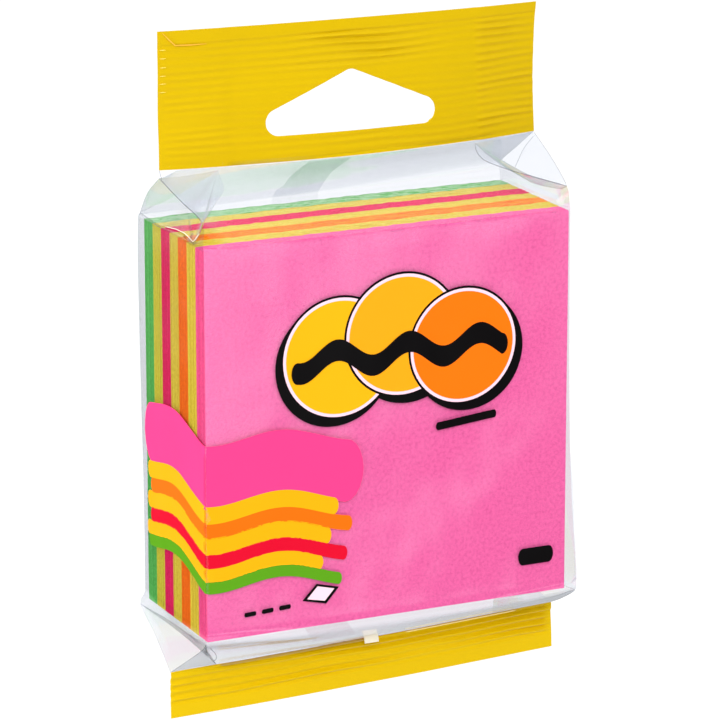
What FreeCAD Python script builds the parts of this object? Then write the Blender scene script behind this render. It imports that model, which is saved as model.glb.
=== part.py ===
import FreeCAD, Part
import os
import Sketcher
from FreeCAD import Placement, Rotation, Vector

# A cube pad of square notes in a clear film sleeve, hung by the sleeve's crimped header.
# Millimetres. X runs to the right seen from the front, Y away from the viewer, Z up.
# The origin is the centre of the round at the top of the hang hole, half way through the film there.

doc = FreeCAD.newDocument("NotePad")

# Driving dimensions

SIZES = [
    ("note_width", 76.0, "width of a note"),
    ("note_height", 76.0, "height of a note"),
    ("block_thick", 4.12, "one colour of notes, pressed together"),
    ("backing_thick", 0.2, "release sheet under the last note"),
    ("film_thick", 0.1, "one layer of film"),
    ("film_gap", 0.3, "clearance between the pad and the film"),
    ("top_slack", 2.9, "film standing loose over the pad's top"),
    ("bottom_slack", 1.0, "film standing loose under the pad's bottom"),
    ("header_setback", 14.0, "pad's front face to the header's mid-plane, at its middle"),
    ("header_bow", 3.0, "how far the header's middle stands before its ends"),
    ("header_rise", 11.9, "pad's top to the header's lower line"),
    ("header_flare", 0.8, "each end of the header past the sleeve"),
    ("header_lip", 2.5, "least plain strip above the header's ridges"),
    ("footer_setback", 10.5, "pad's front face to the footer's mid-plane, at its middle"),
    ("footer_bow", 0.8, "how far the footer's middle stands before its ends"),
    ("footer_drop", 8.0, "pad's bottom to the footer's upper line"),
    ("footer_flare", 1.4, "each end of the footer past the sleeve"),
    ("footer_height", 9.0, "height of the footer"),
    ("footer_lip", 2.2, "least plain strip below the footer's ridges"),
    ("crimp_pitch", 1.7, "one ridge of the crimping jaws"),
    ("crimp_depth", 0.3, "height of a ridge"),
    ("hole_width", 35.3, "hang hole, end to end"),
    ("hole_height", 11.9, "hang hole, top to bottom"),
    ("hole_above", 9.7, "header above the hang hole"),
    ("hole_below", 4.7, "header below the hang hole"),
    ("peg_radius", 2.5, "round at the top of the hang hole"),
    ("corner_radius", 2.6, "rounds at the lower corners of the hang hole"),
    ("fin_side", -0.8, "root of the back seam, right of the centre"),
    ("fin_width", 10.0, "width of the back seam's fin, folded to the left"),
]

BLOCKS = [
    "notes_pink",
    "notes_yellow_front",
    "notes_orange",
    "notes_yellow_middle",
    "notes_magenta",
    "notes_yellow_back",
    "notes_green",
]

sheet = doc.addObject("Spreadsheet::Sheet", "Sizes")
for row, (alias, value, meaning) in enumerate(SIZES, start=1):
    sheet.set(f"A{row}", meaning)
    sheet.set(f"B{row}", str(value))
    sheet.setAlias(f"B{row}", alias)
doc.recompute()

# Places worked out from the sizes, as expressions

PAD_DEPTH = f"({len(BLOCKS)} * Sizes.block_thick + Sizes.backing_thick)"
FILM_MARGIN = "(Sizes.film_gap + Sizes.film_thick)"
FILM_WIDTH = f"(Sizes.note_width + 2 * {FILM_MARGIN})"
FILM_DEPTH = f"({PAD_DEPTH} + 2 * {FILM_MARGIN})"

PAD_FRONT = "(-Sizes.header_setback)"
FILM_FRONT = f"({PAD_FRONT} - {FILM_MARGIN})"
FILM_BACK = f"({FILM_FRONT} + {FILM_DEPTH})"
HEADER_PLANE = "0"
FOOTER_PLANE = f"({PAD_FRONT} + Sizes.footer_setback)"

HEADER_HEIGHT = "(Sizes.hole_above + Sizes.hole_height + Sizes.hole_below)"
HEADER_LINE = "(Sizes.peg_radius - Sizes.hole_height - Sizes.hole_below)"
PAD_TOP = f"({HEADER_LINE} - Sizes.header_rise)"
PAD_BOTTOM = f"({PAD_TOP} - Sizes.note_height)"
FILM_TOP = f"({PAD_TOP} + Sizes.top_slack)"
FILM_BOTTOM = f"({PAD_BOTTOM} - Sizes.bottom_slack)"
FOOTER_LINE = f"({PAD_BOTTOM} - Sizes.footer_drop)"

# The crimped ends hold the front, the back and both layers of the tucked side
SEAL_THICK = "(4 * Sizes.film_thick)"
# Folded flat, a side of the sleeve tucks in by half its depth
TUCK = f"({FILM_DEPTH} / 2)"


def bind(thing, **expressions):
    """Ties properties to expressions; a double underscore stands for a dot."""
    for name, expression in expressions.items():
        thing.setExpression(name.replace("__", "."), expression)


def place(thing, x="0", y="0", z="0", rotation=None):
    """Puts an object at a point given by expressions."""
    if rotation:
        thing.Placement = Placement(Vector(), rotation)
    bind(thing, Placement__Base__x=x, Placement__Base__y=y, Placement__Base__z=z)


def origin_plane(body, role):
    """The body's own origin plane with this role."""
    for feature in body.Origin.OriginFeatures:
        if feature.Role == role:
            return feature
    raise ValueError(role)


def new_sketch(body, name, role):
    """A sketch on one of the body's own origin planes."""
    sketch = body.newObject("Sketcher::SketchObject", name)
    sketch.AttachmentSupport = [(origin_plane(body, role), "")]
    sketch.MapMode = "FlatFace"
    return sketch


def closed_outline(sketch, corners):
    """A closed outline of straight lines; each corner is a pair of expressions."""
    points = [Vector(sketch.evalExpression(u), sketch.evalExpression(v), 0) for u, v in corners]
    count = len(points)
    for i in range(count):
        sketch.addGeometry(Part.LineSegment(points[i], points[(i + 1) % count]))
    for i in range(count):
        sketch.addConstraint(Sketcher.Constraint("Coincident", i, 2, (i + 1) % count, 1))
    for i, (u, v) in enumerate(corners):
        across = sketch.addConstraint(Sketcher.Constraint("DistanceX", i, 1, points[i].x))
        along = sketch.addConstraint(Sketcher.Constraint("DistanceY", i, 1, points[i].y))
        sketch.setExpression(f"Constraints[{across}]", u)
        sketch.setExpression(f"Constraints[{along}]", v)


def level_sketch(name, level):
    """A sketch of its own that lies flat at a height given by an expression."""
    sketch = doc.addObject("Sketcher::SketchObject", name)
    place(sketch, z=level)
    return sketch


def bowed_at(end, out):
    """How far back the bowed seal lies at a distance out from its middle, as an expression."""
    return f"({end['bend']} - sqrt({end['bend']} ^ 2 - ({out}) ^ 2))"


def bowed_outline(sketch, end, half, front, back):
    """A band between two arcs bowed as a seal is; front and back are where its middle lies."""
    ends = bowed_at(end, half)
    reach = sketch.evalExpression(half)
    setback = sketch.evalExpression(ends)
    lines = [sketch.evalExpression(front), sketch.evalExpression(back)]

    def arc(middle):
        """An arc from the left end to the right end through its middle."""
        return Part.Arc(Vector(-reach, middle + setback, 0), Vector(0, middle, 0), Vector(reach, middle + setback, 0))

    def side(x, start, end_of):
        """A straight side of the band."""
        return Part.LineSegment(Vector(x, start + setback, 0), Vector(x, end_of + setback, 0))

    sketch.addGeometry(arc(lines[0]))
    sketch.addGeometry(side(reach, lines[0], lines[1]))
    sketch.addGeometry(arc(lines[1]))
    sketch.addGeometry(side(-reach, lines[1], lines[0]))
    sketch.addConstraint(Sketcher.Constraint("Coincident", 0, 2, 1, 1))
    sketch.addConstraint(Sketcher.Constraint("Coincident", 1, 2, 2, 2))
    sketch.addConstraint(Sketcher.Constraint("Coincident", 2, 1, 3, 1))
    sketch.addConstraint(Sketcher.Constraint("Coincident", 3, 2, 0, 1))
    for number, middle in ((0, front), (2, back)):
        bend_arc(sketch, number, end, half, middle)


def bend_arc(sketch, number, end, half, middle):
    """Holds an arc of a sketch to a seal's bend; its middle lies at an expression."""
    # An arc's points are its start 1, its end 2 and its centre 3
    bend = sketch.evalExpression(end["bend"])
    reach = sketch.evalExpression(half)
    sketch.addConstraint(Sketcher.Constraint("PointOnObject", number, 3, -2))
    for kind, value, expression in [
        (("Radius", number), bend, end["bend"]),
        (("DistanceY", number, 3), sketch.evalExpression(middle) + bend, f"{middle} + {end['bend']}"),
        (("DistanceX", number, 1), -reach, f"-{half}"),
        (("DistanceX", number, 2), reach, half),
    ]:
        held = sketch.addConstraint(Sketcher.Constraint(*kind, value))
        sketch.setExpression(f"Constraints[{held}]", expression)


def pad_sketch(body, sketch, name, length, midplane=False, reverse=False):
    """A pad of the sketch, its length an expression."""
    pad = body.newObject("PartDesign::Pad", name)
    pad.Profile = sketch
    pad.Midplane = midplane
    pad.Reversed = reverse
    bind(pad, Length=length)
    return pad


# Notes

def note_block(label, front, thickness):
    """A block of notes of one colour; front is where its first note lies."""
    body = doc.addObject("PartDesign::Body", label)
    half_width = "Sizes.note_width / 2"
    outline = new_sketch(body, label + "_outline", "XZ_Plane")
    closed_outline(outline, [
        (f"-{half_width}", PAD_BOTTOM),
        (half_width, PAD_BOTTOM),
        (half_width, PAD_TOP),
        (f"-{half_width}", PAD_TOP),
    ])
    pad_sketch(body, outline, label + "_stack", thickness, reverse=True)
    place(body, y=front)
    return body


blocks = []
for number, label in enumerate(BLOCKS):
    blocks.append(note_block(label, f"{PAD_FRONT} + {number} * Sizes.block_thick", "Sizes.block_thick"))
backing = note_block("backing_sheet", f"{PAD_FRONT} + {len(BLOCKS)} * Sizes.block_thick",
                     "Sizes.backing_thick")


# Film sleeve

def film_box(name, inset):
    """The sleeve's straight stretch round the pad, drawn in by an inset on four sides."""
    box = doc.addObject("Part::Box", name)
    bind(
        box,
        Length=f"{FILM_WIDTH} - 2 * {inset}",
        Width=f"{FILM_DEPTH} - 2 * {inset}",
        Height=f"{FILM_TOP} - {FILM_BOTTOM}",
    )
    place(box, f"{inset} - {FILM_WIDTH} / 2", f"{FILM_FRONT} + {inset}", FILM_BOTTOM)
    return box


def roof(name, end, foot, half, ridge_half, ridge_front, ridge_back):
    """A roof from the sleeve's end to its bowed seal; foot is the y of its front and back."""
    base = level_sketch(name + "_foot", end["foot"])
    front, back = foot
    closed_outline(base, [(f"-{half}", front), (half, front), (half, back), (f"-{half}", back)])
    ridge = level_sketch(name + "_ridge", end["line"])
    bowed_outline(ridge, end, ridge_half, ridge_front, ridge_back)
    loft = doc.addObject("Part::Loft", name)
    loft.Sections = [base, ridge]
    loft.Solid = True
    loft.Ruled = True
    return loft


def narrowing(name, end, half, ridge_half):
    """The space between the folded-in sides: as deep as the sleeve, and narrower at the seal."""
    wedge = doc.addObject("Part::Wedge", name)
    bind(
        wedge,
        Xmin=f"-{half}", Xmax=half, X2min=f"-{ridge_half}", X2max=ridge_half,
        Ymin="0", Ymax=end["rise"],
    )
    near, far = (f"-{FILM_BACK}", f"-{FILM_FRONT}") if end["up"] else (FILM_FRONT, FILM_BACK)
    bind(wedge, Zmin=near, Zmax=far, Z2min=near, Z2max=far)
    place(wedge, z=end["foot"], rotation=Rotation(Vector(1, 0, 0), 90 if end["up"] else -90))
    return wedge


def cut(name, base, tool):
    """The base with the tool taken out of it."""
    result = doc.addObject("Part::Cut", name)
    result.Base = base
    result.Tool = tool
    return result


def fuse(name, shapes):
    """All the shapes as one."""
    result = doc.addObject("Part::MultiFuse", name)
    result.Shapes = shapes
    return result


def common(name, shapes):
    """What all the shapes share."""
    result = doc.addObject("Part::MultiCommon", name)
    result.Shapes = shapes
    return result


def bend_radius(half, bow):
    """Radius of the arc with this half width whose middle stands out by the bow, as an expression."""
    return f"(({half} ^ 2 + {bow} ^ 2) / (2 * {bow}))"


HEADER_HALF = f"({FILM_WIDTH} / 2 + Sizes.header_flare)"
HEADER_END = {
    "up": True,
    "foot": FILM_TOP,
    "line": HEADER_LINE,
    "rise": f"({HEADER_LINE} - {FILM_TOP})",
    "plane": HEADER_PLANE,
    "half": HEADER_HALF,
    "bend": bend_radius(HEADER_HALF, "Sizes.header_bow"),
}
FOOTER_HALF = f"({FILM_WIDTH} / 2 + Sizes.footer_flare)"
FOOTER_END = {
    "up": False,
    "foot": FILM_BOTTOM,
    "line": FOOTER_LINE,
    "rise": f"({FILM_BOTTOM} - {FOOTER_LINE})",
    "plane": FOOTER_PLANE,
    "half": FOOTER_HALF,
    "bend": bend_radius(FOOTER_HALF, "Sizes.footer_bow"),
}


def folded_end(name, end):
    """One folded end of the sleeve: its outside, the tucks at its sides and its hollow."""
    layer = "Sizes.film_thick"
    foot_half = f"({FILM_WIDTH} / 2)"
    inside_half = f"({FILM_WIDTH} / 2 - {layer})"
    tuck_half = f"({end['half']} - {TUCK})"
    plane = end["plane"]
    outside = roof(
        name + "_outside", end, (FILM_FRONT, FILM_BACK), foot_half, end["half"],
        f"({plane} - {SEAL_THICK} / 2)", f"({plane} + {SEAL_THICK} / 2)",
    )
    inside = roof(
        name + "_inside", end, (f"({FILM_FRONT} + {layer})", f"({FILM_BACK} - {layer})"),
        foot_half, end["half"], f"({plane} - {layer})", f"({plane} + {layer})",
    )
    hollow = common(name + "_hollow", [inside, narrowing(name + "_room", end, inside_half, tuck_half)])
    # Each tuck is open to the side, between the doubled front and back and above the folded floor
    past = f"({end['half']} + 2 * {layer})"
    between = roof(
        name + "_between", end, (f"({FILM_FRONT} + 2 * {layer})", f"({FILM_BACK} - 2 * {layer})"),
        past, past, f"({plane} - {layer} / 8)", f"({plane} + {layer} / 8)",
    )
    floor = narrowing(name + "_floor", end, foot_half, f"({tuck_half} + {layer})")
    tucks = cut(name + "_tucks", between, floor)
    return outside, tucks, hollow


def swept(body, sketch, path, name):
    """The sketch swept along a path without turning."""
    pipe = body.newObject("PartDesign::AdditivePipe", name)
    pipe.Profile = sketch
    pipe.Spine = (path, ["Edge1"])
    pipe.Mode = "Fixed"
    return pipe


def crimped_seal(name, end, height, lip):
    """The crimped strip that closes an end, drawn upwards from its folded line."""
    body = doc.addObject("PartDesign::Body", name)
    pitch = "Sizes.crimp_pitch"
    ridges = f"floor(({height} - {lip}) / {pitch} + 0.001)"

    # The ridges run along the bow, from the left end
    bow = new_sketch(body, name + "_bow", "XY_Plane")
    reach, setback = bow.evalExpression(end["half"]), bow.evalExpression(bowed_at(end, end["half"]))
    bow.addGeometry(Part.Arc(Vector(-reach, setback, 0), Vector(0, 0, 0), Vector(reach, setback, 0)))
    bend_arc(bow, 0, end, end["half"], "0")

    tooth = new_sketch(body, name + "_ridge", "YZ_Plane")
    bind(tooth, AttachmentOffset__Base__z=f"-{end['half']}")
    front = f"({bowed_at(end, end['half'])} - {SEAL_THICK} / 2)"
    back = f"({bowed_at(end, end['half'])} + {SEAL_THICK} / 2)"
    closed_outline(tooth, [
        (front, "0"),
        (back, "0"),
        (f"{back} - Sizes.crimp_depth", f"{pitch} / 2"),
        (back, pitch),
        (front, pitch),
        (f"{front} - Sizes.crimp_depth", f"{pitch} / 2"),
    ])
    first = swept(body, tooth, bow, name + "_first_ridge")
    doc.recompute()

    row = body.newObject("PartDesign::LinearPattern", name + "_ridges")
    row.Originals = [first]
    row.Direction = (tooth, ["V_Axis"])
    bind(row, Length=f"({ridges} - 1) * {pitch}", Occurrences=ridges)
    body.Tip = row
    doc.recompute()

    strip = new_sketch(body, name + "_lip", "YZ_Plane")
    bind(strip, AttachmentOffset__Base__z=f"-{end['half']}")
    closed_outline(strip, [
        (front, f"{ridges} * {pitch}"),
        (back, f"{ridges} * {pitch}"),
        (back, height),
        (front, height),
    ])
    swept(body, strip, bow, name + "_plain_lip")
    turn = Rotation() if end["up"] else Rotation(Vector(0, 1, 0), 180)
    line = HEADER_LINE if end["up"] else FOOTER_LINE
    place(body, y=end["plane"], z=line, rotation=turn)
    doc.recompute()
    return body


def hang_hole(body):
    """The delta hang hole: a triangle with three rounds, its top round centred on the origin."""
    level = "(Sizes.hole_below + Sizes.hole_height - Sizes.peg_radius)"
    out = "(Sizes.hole_width / 2 - Sizes.corner_radius)"
    down = "(Sizes.hole_height - Sizes.peg_radius - Sizes.corner_radius)"
    sketch = new_sketch(body, "hang_hole_outline", "XZ_Plane")
    peg = sketch.evalExpression("Sizes.peg_radius")
    corner = sketch.evalExpression("Sizes.corner_radius")
    top = Vector(0, sketch.evalExpression(level), 0)
    right = top + Vector(sketch.evalExpression(out), -sketch.evalExpression(down), 0)
    left = Vector(-right.x, right.y, 0)

    # The slanted side's outward direction, from the two centres it passes
    along = right - top
    slope = Vector(-along.y, along.x, 0).normalize()
    mirrored = Vector(-slope.x, slope.y, 0)
    bottom = Vector(0, -1, 0)

    def round_off(centre, radius, start, end):
        """An arc about a corner of the triangle, between the sides that it joins."""
        middle = (start + end).normalize()
        return Part.Arc(centre + start * radius, centre + middle * radius, centre + end * radius)

    sketch.addGeometry(round_off(top, peg, slope, mirrored))
    sketch.addGeometry(Part.LineSegment(top + mirrored * peg, left + mirrored * corner))
    sketch.addGeometry(round_off(left, corner, mirrored, bottom))
    sketch.addGeometry(Part.LineSegment(left + bottom * corner, right + bottom * corner))
    sketch.addGeometry(round_off(right, corner, bottom, slope))
    sketch.addGeometry(Part.LineSegment(right + slope * corner, top + slope * peg))
    for i in range(6):
        sketch.addConstraint(Sketcher.Constraint("Tangent", i, 2, (i + 1) % 6, 1))

    # An arc's point 3 is its centre
    sketch.addConstraint(Sketcher.Constraint("PointOnObject", 0, 3, -2))
    sketch.addConstraint(Sketcher.Constraint("Symmetric", 2, 3, 4, 3, -2))
    for kind, place_of, expression in [
        (("Radius", 0), peg, "Sizes.peg_radius"),
        (("Radius", 2), corner, "Sizes.corner_radius"),
        (("Radius", 4), corner, "Sizes.corner_radius"),
        (("DistanceY", 0, 3), top.y, level),
        (("DistanceX", 4, 3), right.x, out),
        (("DistanceY", 4, 3), right.y, f"{level} - {down}"),
    ]:
        number = sketch.addConstraint(Sketcher.Constraint(*kind, place_of))
        sketch.setExpression(f"Constraints[{number}]", expression)

    pocket = body.newObject("PartDesign::Pocket", "hang_hole")
    pocket.Profile = sketch
    pocket.Midplane = True
    pocket.Type = "ThroughAll"
    doc.recompute()


def back_seam():
    """The fin of the lengthwise seam, folded flat against the sleeve's back and both its roofs."""
    layer = "Sizes.film_thick"
    stretch = (f"({FILM_FRONT} + {layer})", f"({FILM_BACK} + 2 * {layer})")
    along = doc.addObject("Part::Box", "fin_reach")
    bind(
        along,
        Length="Sizes.fin_width",
        Width=f"{stretch[1]} - {stretch[0]}",
        Height=f"{HEADER_LINE} - {FOOTER_LINE}",
    )
    place(along, "Sizes.fin_side - Sizes.fin_width", stretch[0], FOOTER_LINE)
    tube = doc.addObject("Part::Box", "fin_tube")
    bind(
        tube,
        Length=FILM_WIDTH,
        Width=f"{stretch[1]} - {stretch[0]}",
        Height=f"{FILM_TOP} - {FILM_BOTTOM}",
    )
    place(tube, f"-{FILM_WIDTH} / 2", stretch[0], FILM_BOTTOM)
    raised = [tube]
    for name, end in (("fin_top", HEADER_END), ("fin_bottom", FOOTER_END)):
        plane = end["plane"]
        raised.append(roof(
            name, end, stretch, f"({FILM_WIDTH} / 2)", end["half"],
            f"({plane} - {layer})", f"({plane} + {SEAL_THICK} / 2 + 2 * {layer})",
        ))
    return common("back_fin", [fuse("fin_raised", raised), along])


header = crimped_seal("header_seal", HEADER_END, HEADER_HEIGHT, "Sizes.header_lip")
hang_hole(header)
footer = crimped_seal("footer_seal", FOOTER_END, "Sizes.footer_height", "Sizes.footer_lip")

top_outside, top_tucks, top_hollow = folded_end("top", HEADER_END)
bottom_outside, bottom_tucks, bottom_hollow = folded_end("bottom", FOOTER_END)

closed = fuse("sleeve_closed", [
    film_box("sleeve_tube", "0"), top_outside, bottom_outside, header, footer,
])
outside = fuse("sleeve_outside", [closed, back_seam()])
space = fuse("sleeve_space", [
    film_box("sleeve_hollow", "Sizes.film_thick"), top_hollow, bottom_hollow,
])
tucked = cut("sleeve_tucked", outside, fuse("side_tucks", [top_tucks, bottom_tucks]))
film = cut("film_wrap", tucked, space)
doc.recompute()

# Checks and files

PARTS = blocks + [backing, film]

for item in doc.Objects:
    if "Invalid" in item.State or "Error" in item.State:
        raise RuntimeError(f"{item.Name} failed: {item.State}")
for part in PARTS:
    if part.Shape.isNull() or not part.Shape.isValid():
        raise RuntimeError(f"{part.Label} has no valid shape")
    if len(part.Shape.Solids) != 1:
        raise RuntimeError(f"{part.Label} is not one solid")

os.makedirs("parts", exist_ok=True)
for part in PARTS:
    part.Shape.exportStep(f"parts/{part.Label}.step")
    box = part.Shape.BoundBox
    print(f"{part.Label}: volume {part.Shape.Volume:.1f}, x {box.XMin:.2f} {box.XMax:.2f}, "
          f"y {box.YMin:.2f} {box.YMax:.2f}, z {box.ZMin:.2f} {box.ZMax:.2f}")
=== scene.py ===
"""Looks of a pad of sticky notes in seven blocks of colour, in a clear folded sleeve with yellow seals.

Lengths in the tables of points below are in millimetres, in the part's own frame:
x to the right, y to the back and z up, from the middle of the hang hole.
"""

import math
import random

import bmesh
import bpy
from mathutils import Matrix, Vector, noise
from mathutils.bvhtree import BVHTree
from mathutils.geometry import convex_hull_2d, delaunay_2d_cdt


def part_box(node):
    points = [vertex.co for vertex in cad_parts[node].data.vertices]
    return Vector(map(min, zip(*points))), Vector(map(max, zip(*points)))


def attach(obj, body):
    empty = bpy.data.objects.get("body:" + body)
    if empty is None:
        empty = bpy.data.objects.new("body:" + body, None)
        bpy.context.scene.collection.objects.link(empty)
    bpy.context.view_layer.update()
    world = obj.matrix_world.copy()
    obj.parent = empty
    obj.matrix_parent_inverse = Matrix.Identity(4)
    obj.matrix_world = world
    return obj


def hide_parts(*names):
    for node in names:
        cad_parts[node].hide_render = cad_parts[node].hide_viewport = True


bl_info = {
    "name": "Sticky Note Pad",
    "version": (1, 0, 0),
    "blender": (4, 5, 0),
    "location": "3D Viewport > Sidebar > Note Pad",
    "description": "Builds a pad of coloured sticky notes in its clear hanging sleeve",
    "category": "Add Mesh",
}

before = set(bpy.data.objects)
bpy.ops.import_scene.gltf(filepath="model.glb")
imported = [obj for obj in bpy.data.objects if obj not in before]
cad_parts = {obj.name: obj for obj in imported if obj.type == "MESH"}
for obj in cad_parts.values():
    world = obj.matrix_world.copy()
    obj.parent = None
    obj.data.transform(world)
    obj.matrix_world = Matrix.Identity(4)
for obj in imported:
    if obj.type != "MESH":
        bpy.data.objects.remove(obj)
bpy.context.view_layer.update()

MM = 0.001
BODY = "root"

# Tones that light lends to the top edges of the blocks
WHITE = (1.0, 1.0, 1.0, 1.0)
WARM = (0.78, 0.58, 0.05, 1.0)
LIME = (0.62, 0.78, 0.3, 1.0)

# From front to back: CAD node, record slot, colour field, tint of the cut sides by channel
# (painted light and shade, set block by block), and the tone and share of painted light
# that light lends to the top edge
BLOCKS = (
    ("notes_pink", "note_pink", "pink", (1.0, 1.0, 1.0), WHITE, 0.0),
    ("notes_yellow_front", "note_yellow", "yellow", (1.06, 1.14, 1.2), LIME, 0.2),
    ("notes_orange", "note_orange", "orange", (0.96, 1.02, 1.0), WARM, 0.3),
    ("notes_yellow_middle", "note_yellow", "yellow", (0.97, 1.04, 1.3), LIME, 0.2),
    ("notes_magenta", "note_magenta", "magenta", (1.0, 1.0, 1.0), WHITE, 0.0),
    ("notes_yellow_back", "note_yellow", "yellow", (0.82, 1.05, 1.2), LIME, 0.3),
    ("notes_green", "note_green", "green", (1.05, 1.05, 1.1), WHITE, 0.32),
)

# Corners of the yellow header and footer: low left, low right, top right, top left
HEADER_CORNERS = ((-39.7, -13.95), (39.05, -13.8), (39.22, 11.66), (-39.8, 12.4))
FOOTER_CORNERS = ((-40.9, -120.6), (41.4, -118.1), (41.0, -108.75), (-41.0, -111.2))

# The header's ends lie back and its middle bows forward, more at its fold than at its top.
# Its right side is drawn in a little, its fold drops at the left end, and the clear strip
# under it overlaps it a little
HEADER_HALF = 39.3
HEADER_ENDS_Y = 3.0
HEADER_BOW_LOW = 4.3
HEADER_BOW_TOP = 1.6
HEADER_WAIST = 0.45
HEADER_DROP = 1.45
STRIP_OVERLAP = 0.8

# The footer: half its width, its place, its bow, the slope of its ridges, and how much
# brighter its yellow is painted than the header's, as painted light
FOOTER_HALF = 41.0
FOOTER_Y = -2.7
FOOTER_BOW = 0.8
FOOTER_SLOPE = 0.032
FOOTER_LIGHT = 1.15

# The crimped ridges: their pitch, how far they wander, the height of the plain lip over them,
# how far they fade out at their ends, where they end on each seal, and the footer's strength
CRIMP_PITCH = 1.43
CRIMP_WANDER = 0.45
CRIMP_LIP = 2.9
CRIMP_FADE = 1.2
HEADER_CRIMP_HALF = 39.2
FOOTER_CRIMP_HALF = 40.9
FOOTER_CRIMP = 0.46

# The tucked sides lie between the header's layers this far from its middle and beyond
LAYER_STEP_X = 25.3

# The hang hole's three rounds: centre across, centre up, radius
HOLE_ROUNDS = ((0.0, 0.0, 2.5), (15.05, -6.65, 2.6), (-15.05, -6.4, 2.6))
HOLE_SHIFT = -1.35

# How much darker paper's mottles are, in steps of 255
PAPER_MOTTLE = 22
# Refractive index of the film
FILM_INDEX = 1.48
# Faces that meet at more than this keep a sharp edge
SHARP_ANGLE = math.radians(40)

# Ends of the sleeve's folds. The front and back fold corners stand above and below the pad
TOP_APEX_LEFT = (-28.6, 0.9, -14.6)
TOP_APEX_RIGHT = (25.2, 0.7, -14.5)
TOP_FRONT_LEFT = (-38.4, -14.0, -20.4)
TOP_FRONT_RIGHT = (37.3, -14.4, -21.0)
TOP_BACK_LEFT = (-38.6, 15.3, -24.8)
TOP_BACK_RIGHT = (38.4, 15.6, -22.5)
LOW_FRONT_LEFT = (-38.6, -14.4, -102.2)
LOW_FRONT_RIGHT = (40.2, -14.4, -102.6)
LOW_BACK_LEFT = (-39.7, 15.1, -103.0)
LOW_BACK_RIGHT = (38.5, 15.4, -102.8)
LOW_END_LEFT = (-41.0, -2.7, -111.2)
LOW_END_RIGHT = (41.0, -2.7, -108.75)
LOW_APEX_LEFT = (-31.4, -2.9, -111.0)
LOW_APEX_RIGHT = (28.0, -2.9, -109.2)

# Creases of the tucks, from the front fold corner to the apex
TOP_CREASE_RIGHT = ((33.46, -9.57, -20.0), (30.15, -6.55, -19.1), (27.4, -4.1, -18.1),
                    (25.6, -2.0, -17.2), (25.0, -0.4, -15.9))
TOP_CREASE_LEFT = ((-35.2, -10.2, -19.6), (-32.2, -6.6, -18.6), (-29.3, -3.2, -17.5),
                   (-28.7, -0.8, -16.1))
LOW_CREASE_LEFT = ((-37.2, -11.5, -104.6), (-35.4, -8.5, -106.8), (-33.6, -5.6, -108.9))
LOW_CREASE_RIGHT = ((37.0, -11.5, -104.4), (34.0, -8.5, -105.9), (31.0, -5.6, -107.6))

# Fold where each side panel turns inward, from its front corner to its back corner
TOP_FOLD_LEFT = ((-38.4, -13.4, -22.2), (-38.4, -9.9, -25.0), (-38.4, -6.1, -24.2),
                 (-38.4, -2.0, -24.3), (-38.4, 6.0, -25.3))
TOP_FOLD_RIGHT = ((38.5, -9.0, -22.8), (38.5, 3.0, -24.0))
LOW_FOLD_LEFT = ((-38.7, -9.0, -102.5), (-38.6, -3.0, -102.8), (-38.5, 5.5, -103.1))
LOW_FOLD_RIGHT = ((39.6, -6.0, -103.0), (38.6, 5.0, -103.0))

# Short creases that no fold makes, each with its weight
EXTRA_CREASES = (
    (((38.9, 2.4, -14.6), (34.6, -1.6, -16.0), (30.4, -5.9, -18.6)), 0.8),
    (((-39.65, 2.9, -14.0), (-39.5, 2.9, -14.8), (-39.2, 2.9, -15.8)), 0.8),
    (((-38.0, -14.9, -102.9), (-36.7, -14.4, -104.3), (-35.9, -13.0, -105.9), (-36.0, -11.4, -107.0)),
     0.8),
)

# Outer edges of the back's ends, between a fold corner and the seal's end
TOP_EDGE_BACK_LEFT = (-39.8, 8.5, -19.4)
TOP_EDGE_BACK_RIGHT = (38.7, 9.3, -18.2)
LOW_EDGE_BACK_LEFT = (-40.1, 7.0, -106.6)
LOW_EDGE_BACK_RIGHT = (39.6, 6.6, -105.9)

# Lines of points across the front and the back, from under the header's fold to the footer's
FRONT_LINES = (
    ((-38.85, -5.4, -18.2), (-20, -5.9, -18.2), (0, -6.4, -18.1), (20, -5.7, -17.7), (38.6, -5.7, -17.5)),
    (TOP_FRONT_LEFT, (-33, -12.3, -22.2), (-22, -10.9, -22.3), (0, -10.7, -22.0),
     (22, -10.8, -22.0), (33, -12.4, -22.0), TOP_FRONT_RIGHT),
    ((-38.4, -14.4, -24.6), (-31, -14.1, -25.4), (0, -14.1, -25.4), (31, -14.1, -25.4),
     (37.9, -14.4, -24.6)),
    ((-38.35, -14.45, -26.4), (0, -14.5, -26.4), (38.1, -14.4, -26.4)),
    ((-38.35, -14.45, -36), (0, -14.55, -36), (38.1, -14.4, -36)),
    ((-38.35, -14.45, -62), (0, -14.55, -62), (38.4, -14.4, -62)),
    ((-38.4, -14.45, -80), (0, -14.5, -80), (36, -14.45, -80), (39.0, -14.4, -80)),
    ((-38.45, -14.45, -97), (0, -14.5, -97), (36, -14.45, -97), (40.3, -14.35, -97)),
    ((-38.5, -14.4, -100.6), (0, -14.5, -101.4), (36, -14.45, -101), (40.5, -14.3, -100.4)),
    (LOW_FRONT_LEFT, (-20, -13.9, -103.4), (0, -13.7, -103.7), (20, -13.9, -103.6), LOW_FRONT_RIGHT),
    ((-37.0, -7.6, -106.2), (-15, -8.4, -106.9), (0, -8.6, -107.1), (20, -8.4, -106.6),
     (41.0, -7.4, -106.5)),
    (LOW_END_LEFT, (0, -3.5, -110.1), LOW_END_RIGHT),
)
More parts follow.
